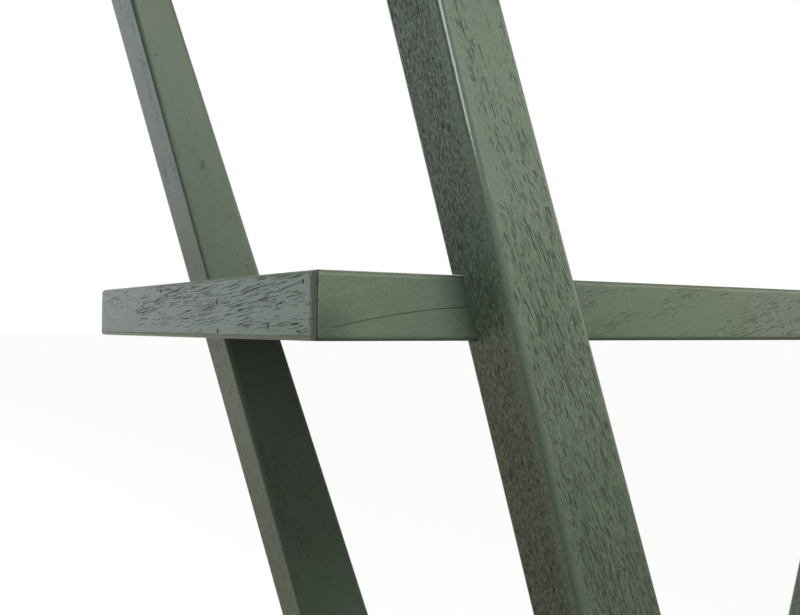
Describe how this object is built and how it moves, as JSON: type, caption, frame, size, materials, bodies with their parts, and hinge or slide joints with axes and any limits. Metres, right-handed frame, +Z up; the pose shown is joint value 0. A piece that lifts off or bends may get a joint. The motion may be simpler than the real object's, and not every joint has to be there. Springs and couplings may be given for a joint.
{
  "type": "ladder shelf",
  "caption": "Free-standing ladder shelf in painted open-grain wood: tapered legs flare outwards to the top and carry level lipped boards in housed joints.",
  "frame": {"origin": "on the floor under the middle of the piece", "axes": "+Z up, +X to the right along the boards, front towards -Y"},
  "size_m": [1.258, 0.358, 0.95],
  "materials": {
    "leg_wood": "satin grey-green paint over open-grain hardwood",
    "lipping_wood": "satin grey-green paint over open-grain hardwood",
    "board_wood": "satin grey-green paint over open-grain veneer",
    "dowel_beech": "bare beech",
    "brad_steel": "plain steel, painted over at the head",
    "glide_nylon": "matt dark nylon"
  },
  "bodies": {
    "root": {"leg_front_left": "leg_wood", "leg_front_right": "leg_wood", "leg_back_left": "leg_wood", "leg_back_right": "leg_wood", "foot_glide_front_left": "glide_nylon", "foot_glide_front_right": "glide_nylon", "foot_glide_back_left": "glide_nylon", "foot_glide_back_right": "glide_nylon", "shelf_bottom_core": "board_wood", "shelf_bottom_lipping_front": "lipping_wood", "shelf_bottom_lipping_back": "lipping_wood", "shelf_bottom_lipping_left": "lipping_wood", "shelf_bottom_lipping_right": "lipping_wood", "shelf_bottom_dowels": "dowel_beech", "shelf_bottom_brads": "brad_steel", "shelf_middle_core": "board_wood", "shelf_middle_lipping_front": "lipping_wood", "shelf_middle_lipping_back": "lipping_wood", "shelf_middle_lipping_left": "lipping_wood", "shelf_middle_lipping_right": "lipping_wood", "shelf_middle_dowels": "dowel_beech", "shelf_middle_brads": "brad_steel", "shelf_top_core": "board_wood", "shelf_top_lipping_front": "lipping_wood", "shelf_top_lipping_back": "lipping_wood", "shelf_top_lipping_left": "lipping_wood", "shelf_top_lipping_right": "lipping_wood", "shelf_top_dowels": "dowel_beech", "shelf_top_brads": "brad_steel"}
  },
  "joints": []
}
